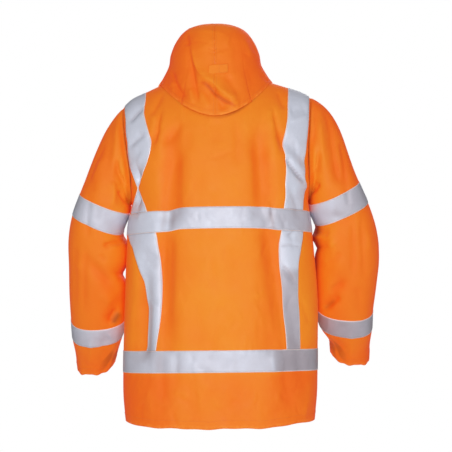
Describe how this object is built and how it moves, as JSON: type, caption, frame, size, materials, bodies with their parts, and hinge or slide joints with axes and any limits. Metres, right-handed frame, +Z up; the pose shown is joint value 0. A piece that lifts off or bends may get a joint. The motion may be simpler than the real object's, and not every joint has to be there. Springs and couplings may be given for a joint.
{
  "type": "hi-vis work jacket",
  "caption": "Hooded high-visibility work jacket with reflective braces and bands, hollow and filled out as worn, with open hem, cuffs and face.",
  "frame": {"origin": "the point between the shoulders at the base of the neck, where the wearer's neck and shoulders hold the jacket up", "axes": "+Z up, +Y to the wearer's front, +X to the wearer's right; the back panel faces -Y"},
  "size_m": [0.748, 0.361, 0.9428],
  "materials": {
    "orange_cloth": "fluorescent orange coated woven cloth, soft sheen",
    "reflective_tape": "silver-grey retroreflective tape, satin, sewn on"
  },
  "bodies": {
    "root": {"back": "orange_cloth", "front_left": "orange_cloth", "front_right": "orange_cloth", "storm_flap": "orange_cloth", "sleeve_left": "orange_cloth", "sleeve_right": "orange_cloth", "hood_left": "orange_cloth", "hood_right": "orange_cloth", "hood_tab": "orange_cloth", "tape_brace_over_left": "reflective_tape", "tape_brace_over_right": "reflective_tape", "tape_brace_back_left": "reflective_tape", "tape_brace_back_right": "reflective_tape", "tape_brace_front_left": "reflective_tape", "tape_brace_front_right": "reflective_tape", "tape_chest_back": "reflective_tape", "tape_chest_front_left": "reflective_tape", "tape_chest_front_right": "reflective_tape", "tape_chest_flap": "reflective_tape", "tape_hem_back": "reflective_tape", "tape_hem_front_left": "reflective_tape", "tape_hem_front_right": "reflective_tape", "tape_hem_flap": "reflective_tape", "tape_sleeve_left_upper": "reflective_tape", "tape_sleeve_left_lower": "reflective_tape", "tape_sleeve_right_upper": "reflective_tape", "tape_sleeve_right_lower": "reflective_tape"}
  },
  "joints": []
}
